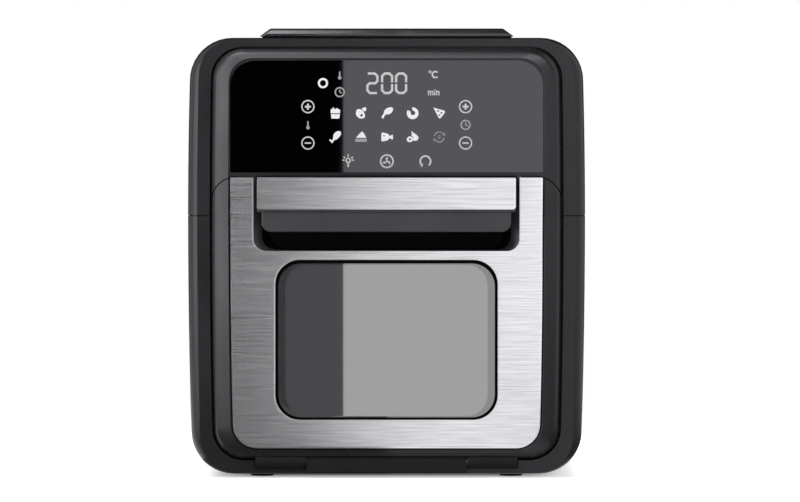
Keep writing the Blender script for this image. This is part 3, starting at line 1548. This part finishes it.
def make_hood():
    """Slotted hood over the exhaust."""
    outer = opening(62, CEILING_Z - 8, CEILING_Z + 44, 8)
    inner = opening(59.5, CEILING_Z - 5.5, CEILING_Z + 41.5, 5.5)
    edge = ((REAR_Y, 0), (HOOD_Y - 3, 0), (HOOD_Y - 1.4, 0.5), (HOOD_Y - 0.4, 1.5), (HOOD_Y, 3.0))
    outside = [(outer(-inset), depth) for depth, inset in edge]
    inner_side = [(inner(0), REAR_Y), (inner(0), HOOD_Y - HOOD_T)]
    slots = [opening(VENT_HALF, CEILING_Z, CEILING_Z + 36, cu=x) for x in range(-50, 51, 10)]
    bore = rounded_steps(HOOD_Y, HOOD_Y - HOOD_T, 0.5)
    put(Shape().cup(at_y, outside, inner_side, slots, bore), "rear_vent_hood")


def make_rear():
    """Cover, hood, cord inlet and the screws of the housing."""
    make_rear_cover()
    make_hood()
    inlet = [(3.6, -9), (6.9, -9), (6.9, -8), (8.2, -7.5), (8.2, -3.5), (6.9, -3), (6.9, 0)]
    inlet += [(9.5, 0), (9.5, 3.4), (8.6, 4), (6.2, 4), (5.6, 3.2), (4.4, 3.2), (3.6, 2.6), (3.6, -9)]
    put(Shape().turned(at_y, (CORD_X, CORD_Z), inlet, 40, REAR_Y), "cord_inlet")
    spots = [((x, y, BOTTOM_Z), 0) for x, y in BASE_SCREWS]
    spots += [((x, REAR_Y, z), 90) for x, z in REAR_SCREWS]
    screws("housing_screws", spots)


def hump_level(inset, front_inset=None):
    """Outline of the intake cover at one level; its front may have an inset of its own."""
    near = HUMP_FRONT + (inset if front_inset is None else front_inset)
    return panel(HUMP_HALF - inset, near, HUMP_BACK - inset, 3, 3)


def make_top():
    """Low intake cover with sloping sides and a row of slots at its back."""
    outer = [(hump_level(2.6), TOP_Z), (hump_level(2.6), TOP_Z + 1.5)]
    outer.append((hump_level(0.6, 0.3), TOP_Z + 1.6))
    rise = HUMP_Z - TOP_Z
    for share, near in HUMP_FACE:
        slope = 9.5 * share + 0.8 * (1 - share)
        outer.append((hump_level(slope, near), TOP_Z + 1.7 + (rise - 1.8) * share))
    outer.append((hump_level(10.6, 9), HUMP_Z))
    inner = [(hump_level(3.5), TOP_Z), (hump_level(11.5), HUMP_Z - 2)]
    cover = put(Shape().cup(at_z, outer, inner), "top_vent_cover", "display_black")
    for face in cover.data.polygons:
        if face.center.z < (TOP_Z + 1.55) * MM:
            face.material_index = 1
    for x in range(-80, 81, 8):
        slot = panel(2, TOP_Z + 1.5, HUMP_Z - 2.2, 1.9, 1.9, 0, x)
        cut(cover, prism(slot, HUMP_BACK - 30, HUMP_BACK + 1))


def make_base():
    """Slotted base plate with a sunk middle, and four feet."""
    slots = [opening(VENT_HALF, y, y + 60, cu=x) for x in range(-60, 61, 12) for y in (-70, 10)]
    holes = slots + [round_opening(x, y, SCREW_R) for x, y in BASE_SCREWS]
    flange = opening(125.5, FRAME_Y + 4, REAR_Y - 16, 6)
    plate = put(Shape().slab(at_z, flange, holes, BOTTOM_Z + 3, BOTTOM_Z + 4.5, 0.4), "base_plate")
    pan = opening(116.5, FRAME_Y + 6.5, REAR_Y - 22.5, 5)
    cut(plate, Shape().slab(at_z, pan, slots, BOTTOM_Z + 1, BOTTOM_Z + 4, 0.5).mesh(), "UNION")
    foot = [(0, 1.5), (2.7, 1.5), (3, 1.2), (3, 0.3), (3.3, 0), (8.9, 0), (9.5, 0.5), (9.9, 1.6)]
    foot += [(9.5, 2.0), (9.6, 2.4), (10.9, BOTTOM_Z + 0.7), (10.6, BOTTOM_Z + 1), (0, BOTTOM_Z + 1)]
    feet = Shape()
    for x in (-104, 104):
        for y in (FRAME_Y + 18, REAR_Y - 36):
            feet.turned(at_z, (x, y), foot, 40)
    put(feet, "rubber_feet")


# ---------- cooking chamber ----------

BACK_Y = high("inner_chamber").y
HALF = high("rack_rails").x
COIL_Z = CEILING_Z - 10
GUARD_Z = CEILING_Z - 24
GUARD_R = 92
COIL_RADII = (72, 52)
LEAD_X = 101
LEAD_YS = (24.6, 9)
TUBE_R = 3.2
LAMP = (72, 182)
SPIT = (0, 118)
RACK_WIRES = 19
FRAME_BAR_R = 1.98
WIRE_R = 1.1
GUARD_WIRE_R = 1.05
FAN_BLADES = 12
MOTOR_Z = low("fan_motor").z + 7
TRAY_HALF = 113
SPIT_HOLE = 3.2
SENSOR = (58, CEILING_Z - 22)


def make_rack(node):
    """A round bar bent into a frame, and thin wires across it."""
    z = low(node).z
    w = HALF - 2.6
    y0, y1 = CHAMBER_Y + 7, BACK_Y - 11
    shape = Shape().tube(at_z(panel(w - 2, y0 + 2, y1 - 2, 7, 7), z + 2), FRAME_BAR_R, 12, closed=True)
    wire = [(y0 + 1.5, z + 2.2), (y0 + 5, z + 2.8), (y1 - 5, z + 2.8), (y1 - 1.5, z + 2.2)]
    for k in range(1, RACK_WIRES + 1):
        shape.tube(at_x(wire, -w + 2 * w * k / (RACK_WIRES + 1)), WIRE_R, 8)
    for k in range(1, 4):
        y = y0 + (y1 - y0) * k / 4
        shape.tube([(-w + 2, y, z + 1.4), (w - 2, y, z + 1.4)], WIRE_R, 8)
    put(shape, node)


def make_coil():
    """One bent tube: up two leads and round two turns, joined across the gap."""
    turns = []
    for r, lead_y, way in zip(COIL_RADII, LEAD_YS, (1, -1)):
        gap = math.degrees(math.asin(lead_y / r))
        turns.append(at_z(arc(0, 0, r, gap, 360 - gap, 48), COIL_Z)[::way])
    top = CEILING_Z + 16
    path = [(LEAD_X, LEAD_YS[0], top), (LEAD_X, LEAD_YS[0], COIL_Z)] + turns[0] + turns[1]
    path += [(LEAD_X, LEAD_YS[1], COIL_Z), (LEAD_X, LEAD_YS[1], top)]
    put(Shape().tube(filleted(path, 4, 3), TUBE_R, 14), "heating_element")


def make_guard():
    """Wire rings under the coil on eight bent spokes."""
    shape = Shape()
    for r in range(20, GUARD_R + 1, 18):
        shape.tube(at_z(circle(0, 0, r, 48), GUARD_Z + 0.8), GUARD_WIRE_R, 8, closed=True)
    spoke = [(15, GUARD_Z - 0.1), (GUARD_R + 1.3, GUARD_Z - 0.1), (GUARD_R + 1.3, CEILING_Z)]
    for k in range(8):
        t = math.radians(22.5 + 45 * k)
        path = [(r * math.cos(t), r * math.sin(t), z) for r, z in spoke]
        shape.tube(filleted(path, 4, 4), GUARD_WIRE_R, 8)
    put(shape, "element_guard")


def make_insulators():
    """Ribbed ceramic collars on the coil's leads."""
    bore = TUBE_R + 0.05
    profile = [(bore, -1), (4.9, -1), (4.9, 1), (7, 1.2), (7, 6), (4.9, 6.4), (4.4, 7.6)]
    profile += [(4.9, 8.8), (4.4, 10), (4.9, 12), (bore, 12), (bore, -1)]
    shape = Shape()
    for y in LEAD_YS:
        shape.turned(at_z, (LEAD_X, y), profile, 28, CEILING_Z)
    put(shape, "terminal_insulators")


def make_lamp():
    """Chamber lamp: its glass cover, its can in the wall and its bulb."""
    cover = [(0, -5), (21, -5), (23.4, -4.4), (24, -3.2), (24, -1.2), (23.6, -1), (19.2, -1)]
    cover += [(19, -1.3), (19, -2.2), (17, -2.7), (0, -2.4)]
    put(Shape().turned(at_y, LAMP, cover, 48, BACK_Y), "lamp_cover")
    can = [(19.8, 0), (27, 0), (27, 1.2), (21.4, 1.2), (21, 1.6), (21, 23), (20, 24), (7.2, 24)]
    can += [(7.2, 22.8), (19.2, 22.8), (19.8, 22.2), (19.8, 0)]
    put(Shape().turned(at_y, LAMP, can, 48, BACK_Y), "lamp_housing")
    turns = [math.radians(a) for a in range(0, 131, 13)]
    globe = [(9 * math.sin(t), 9 - 9 * math.cos(t)) for t in turns] + [(6.9, 15.2)]
    base = [(6.9, 15.2)] + [(6.6 + 0.35 * (k % 2), 16 + 1.1 * k) for k in range(9)]
    base += [(5, 26.5), (3, 28), (0, 28)]
    lamp = Shape().turned(at_y, LAMP, globe, 32, BACK_Y).painted(1)
    lamp.turned(at_y, LAMP, base, 32, BACK_Y).painted(2)
    put(lamp, "oven_lamp", "clear_glass", "screw_steel")


def make_tray():
    """Enamelled tray with sloping sides and a rolled rim, from (inset, height) pairs."""
    z = low("drip_tray").z
    y0, y1 = CHAMBER_Y + 4, BACK_Y - 9
    outer = [(0.3, 12), (0, 11.7), (0, 11.3), (0.3, 11), (3.0, 10.8), (3.6, 10), (5.5, 1.4), (7, 0.2)]
    outer.append((9, 0))
    inner = [(2.6, 12), (4, 11.5), (4.6, 10.3), (6.4, 2.4), (8.6, 1.1), (14, 1.0), (15.5, 1.5)]
    inner += [(17, 1.5), (19, 1.0)]

    def side(steps):
        return [(panel(TRAY_HALF - g, y0 + g, y1 - g, 9, 9), z + height) for g, height in steps]

    put(Shape().cup(at_z, side(outer), side(inner)), "drip_tray")


def make_socket():
    """Round drive socket in the chamber's wall with a square hole for a spit."""
    y, z = SPIT
    profile = [(0, -12), (4.2, -12), (5, -11.2), (5, 6), (3, 6.3), (3, 23.6), (2.6, 24), (0, 24)]
    socket = put(Shape().turned(at_x, SPIT, profile, 32, HALF), "drive_socket")
    hole = Shape().block(
        (HALF - 13, y - SPIT_HOLE, z - SPIT_HOLE), (HALF - 2, y + SPIT_HOLE, z + SPIT_HOLE), 0.2
    )
    cut(socket, hole.mesh())


def make_spit_motor():
    """Round gear motor with two screwed ears."""
    y, z = SPIT
    x0 = HALF + 14
    can = [(0, 12), (3.2, 12), (3.2, -5), (8, -5), (8, 0), (22.4, 0), (23, 0.6), (23, 13), (21.5, 15)]
    shape = Shape().turned(at_x, SPIT, can + [(0, 15)], 40, x0)
    for way in (-1, 1):
        shape.block((x0, y + way * 28 - 6, z - 6), (x0 + 1.4, y + way * 28 + 6, z + 6), 0.3)
        pin(shape, at_x, (y + way * 29, z), 3, HALF + 1, x0 + 1.4)
    put(shape, "rotisserie_motor")


def make_sensor():
    """Temperature sensor's bulb through the chamber's left wall."""
    profile = [(0, 16.2), (1.2, 15.9), (2, 15), (2.2, 13.6), (2.2, -1), (6, -1.2), (6, -5), (2.2, -5.2)]
    profile += [(2.2, -8), (0, -8)]
    put(Shape().turned(at_x, SENSOR, profile, 24, -HALF), "temperature_sensor")


def make_dome():
    """Steel dome over the hot-air fan."""
    profile = [(93.5, 1), (93.5, 2), (90.4, 2), (90, 2.6), (90, 28), (89, 30.3), (87, 31), (6, 31)]
    profile += [(6, 30), (86.6, 30), (88.2, 29.4), (89, 27.6), (89, 1.2), (93.3, 1), (93.5, 1)]
    put(Shape().turned(at_z, (0, 0), profile, 72, CEILING_Z), "fan_dome")


def make_fan_motor():
    """Round motor with its stack of iron sheets, and its shaft."""
    profile = [(4.4, -7), (11, -7), (11, 0), (32, 0), (34, 1.5), (34, 30), (32, 32), (10, 32), (10, 38)]
    profile += [(4.4, 38), (4.4, -7)]
    motor = Shape().turned(at_z, (0, 0), profile, 48, MOTOR_Z).painted(0)
    for k in range(6):
        sheet = MOTOR_Z + 6 + 3 * k
        motor.block((-36, -28, sheet), (36, 28, sheet + 2.6), 0.4)
    put(motor.painted(1), "fan_motor", "zinc_steel")
    ends = low("motor_shaft").z, high("motor_shaft").z
    put(pin(Shape(), at_z, (0, 0), 4, *ends, 0.6), "motor_shaft")


def make_nuts():
    """Hexagon nuts that hold the two fans on the shaft."""
    shape = Shape()
    for z in (CEILING_Z + 5, MOTOR_Z + 57.5):
        depths = (z, z + 0.5, z + 4, z + 4.5)
        outside = shape.rings([at_z(circle(0, 0, r, 6), d) for r, d in zip((6.9, 7.5, 7.5, 6.9), depths)])
        bore = shape.rings([at_z(circle(0, 0, r, 24), d) for r, d in zip((4.5, 4, 4, 4.5), depths)])
        shape.skin(outside).skin(bore).capped([outside, bore])
    put(shape, "fan_nuts")


def make_hot_fan():
    """Pressed wheel with curved blades that hang from its disc."""
    z = CEILING_Z + 10
    profile = [(4, 0), (8.6, 0), (9, 0.4), (9, 14.6), (74, 15), (74, 15.4), (74, 16), (9, 16)]
    profile += [(9, 16.6), (8.6, 17), (4, 17), (4, 0)]
    shape = Shape().turned(at_z, (0, 0), profile, 64, z)
    for k in range(FAN_BLADES):
        path = []
        for i in range(7):
            r = 26 + 47.5 * i / 6
            bend = math.tau * k / FAN_BLADES + 0.16 * math.sin(math.pi * i / 6)
            path.append((r * math.cos(bend), r * math.sin(bend)))
        blade = stroke(path, 0.9)[0]
        shape.solid([at_z(blade, z), at_z(blade, z + 15.4)])
    put(shape, "hot_air_fan")


# ---------- electrics ----------


# Paths of the two cables
HARNESS = (
    ((105, 136, 45), (138, 130, 65), (138, 130, 265), (128, 52, 265), (120, 42, 274)),
    ((84, -96, 274), (60, -102.5, 294), (20, -112.5, 305), (10, -129, 305)),
)
BOARD_Z = 270
CABLE_R = 1.98
SPRING_R = 2.8
SPRING_WIRE_R = 0.38
SPRING_TURNS = 5
MAGNET_X = 62
SWITCH = (-130, 238)


def board_paint(at):
    """Number of the power board's material at a place: its sheet, or what is below or above it."""
    if at.z >= BOARD_Z + 0.2:
        return 2
    return 0 if at.z > BOARD_Z - 2.2 else 1


def make_electrics():
    cables = Shape()
    for colour, path in enumerate(HARNESS):
        cables.tube(filleted(path, 14, 6), CABLE_R, 12).painted(colour)
    put(cables, "wiring_harness", "switch_brown")
    board = repainted(softened("power_board", 0.4), board_paint)
    put(board, "power_board", "ceramic_white", "rubber_black")
    profile = [(1.6, 0.2), (6.6, 0.2), (6.9, 0.5), (6.9, 2.5), (9, 2.5), (9, 6.2), (8.7, 6.5)]
    profile += [(1.6, 6.5), (1.6, 0.2)]
    magnets = Shape()
    for x in (-MAGNET_X, MAGNET_X):
        magnets.turned(at_y, (x, SWITCH[1]), profile, 32, FRAME_Y)
    put(magnets, "door_magnets")
    plunger = [(0, 0.6), (1.2, 0.7), (1.8, 1.2), (2, 1.9), (2, 12.5), (0, 12.5)]
    put(Shape().turned(at_y, SWITCH, plunger, 24, FRAME_Y), "switch_plunger")
    make_springs()


def key_spots():
    """Places of the touch springs, as (x, z) pairs."""
    spots = [(way * 65.4, z) for way in (-1, 1) for z in (305.8, 275.6)]
    spots += [(-42.8 + 21.4 * k, z) for k in range(5) for z in (300.5, 280.6)]
    return spots + [(-32, 260.5), (0.2, 260.5), (32.4, 260.5), (-52.7, 325.3)]


def make_springs():
    """Coil springs that reach from the board to the back of the touch glass."""
    near, far = low("touch_springs").y, high("touch_springs").y
    shape = Shape()
    for x, z in key_spots():
        path = []
        for k in range(61):
            turn = math.tau * SPRING_TURNS * k / 60
            depth = near + 0.45 + (far - near - 0.9) * k / 60
            path.append((x + SPRING_R * math.cos(turn), depth, z + BOTTOM_Z + SPRING_R * math.sin(turn)))
        shape.tube(path, SPRING_WIRE_R, 6)
    put(shape, "touch_springs")


# ---------- inside of the door ----------


def window_shape(shift):
    """The window's outline grown by a shift, as a function of its further growth."""
    return lambda grow: window_loop(shift + grow)


def make_liner():
    """Sheet liner with studs for the switch and the magnets."""
    holes = [window_shape(-4)] + [round_opening(x, z, SCREW_R) for x, z in DOOR_SCREWS]
    outline = opening(139, BOTTOM_Z + 17, SPLIT_Z - 4, 20)
    edge = [(LINER_Y, 1.2), (LINER_Y - 0.5, 0.25), (LINER_Y - 0.8, 0), (LINER_Y - 1, 0)]
    bore = [(LINER_Y, 0.3), (LINER_Y - 0.3, 0), (LINER_Y - 0.7, 0), (LINER_Y - 1, 0.1)]
    liner = Shape().plate(at_y, outline, holes, edge, hole_steps=bore)
    pin(liner, at_y, SWITCH, 2.2, LINER_Y - 0.5, FRAME_Y + 0.3, 0.5)
    for x in (-MAGNET_X, MAGNET_X):
        pin(liner, at_y, (x, SWITCH[1]), 7, LINER_Y - 0.5, FRAME_Y - 0.4, 0.6)
    put(liner, "inner_door_panel")


def make_door_inside():
    """Liner, inner pane, seals and screws."""
    make_liner()
    near, far = low("inner_window_glass").y, high("inner_window_glass").y
    put(Shape().slab(at_y, window_shape(5), [], near, far, 0.4), "inner_window_glass")
    ring = opening(HALF + 8, FLOOR_Z - 8, CEILING_Z + 8, 14)
    bore = opening(HALF + 3, FLOOR_Z - 3, CEILING_Z + 3, 10)
    seals = Shape().slab(at_y, ring, [bore], FRAME_Y - 0.4, LINER_Y, 2.0)
    seals.slab(at_y, window_shape(5), [window_loop], far, LINER_Y - 1, 0.6)
    put(seals, "door_seals")
    screws("door_screws", [((x, LINER_Y, z), 90) for x, z in DOOR_SCREWS])


# Nodes that keep their CAD shape with its edges rounded by a width
SOFTENED = {
    "front_frame": 0.3, "inner_chamber": 0.3, "rack_rails": 0.3, "chamber_brackets": 0.4,
    "insulation": 1.2, "exhaust_duct": 0.3, "element_clips": 0.25, "spit_support": 0.4,
    "heat_shield": 0.3, "motor_bracket": 0.3, "cooling_fan": 0.3, "thermal_fuse": 0.4,
    "door_switch": 0.6, "control_board": 0.25, "display_module": 0.4,
}


def make_inside():
    for node, width in SOFTENED.items():
        put(softened(node, width), node)
    make_coil()
    make_guard()
    make_insulators()
    make_lamp()
    make_tray()
    make_socket()
    make_spit_motor()
    make_sensor()
    make_dome()
    make_fan_motor()
    make_nuts()
    make_hot_fan()
    make_electrics()
    make_door_inside()
    for node in ("lower_rack", "upper_rack"):
        make_rack(node)


# ---------- all pieces ----------


def dress_cad_nodes():
    """Gives each CAD node that still shows the finish of its slot in the record."""
    for node, piece in frame["nodes"].items():
        if not piece.hide_render:
            piece.data.materials.clear()
            piece.data.materials.append(FINISHES[SLOTS[node]])


def corner_normal(corner, flat):
    """Normal of a face's corner: its flat neighbour's own, or the mean of those it blends with."""
    face = corner.face
    if face[flat]:
        return face.normal
    near = [f for f in corner.vert.link_faces if f.normal.dot(face.normal) > math.cos(HARD_ANGLE)]
    even = [f for f in near if f[flat]]
    total = Vector()
    for f in even or near:
        total += f.normal * f.calc_area()
    return total.normalized() if total.length > 0 else face.normal


def smooth_pieces():
    """Smooth shading that keeps flat faces flat and hard edges hard on every modelled piece."""
    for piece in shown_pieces():
        if "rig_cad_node" in piece or piece.type != "MESH":
            continue
        mesh = piece.data
        mesh.shade_smooth()
        mesh.set_sharp_from_angle(angle=HARD_ANGLE)
        bm = bmesh.new()
        bm.from_mesh(mesh)
        flat = bm.faces.layers.int.get(FLAT) or bm.faces.layers.int.new(FLAT)
        normals = [corner_normal(corner, flat) for face in bm.faces for corner in face.loops]
        bm.free()
        mesh.normals_split_custom_set(normals)


make_housing()
make_front()
make_rear()
make_top()
make_base()
make_inside()
dress_cad_nodes()
smooth_pieces()
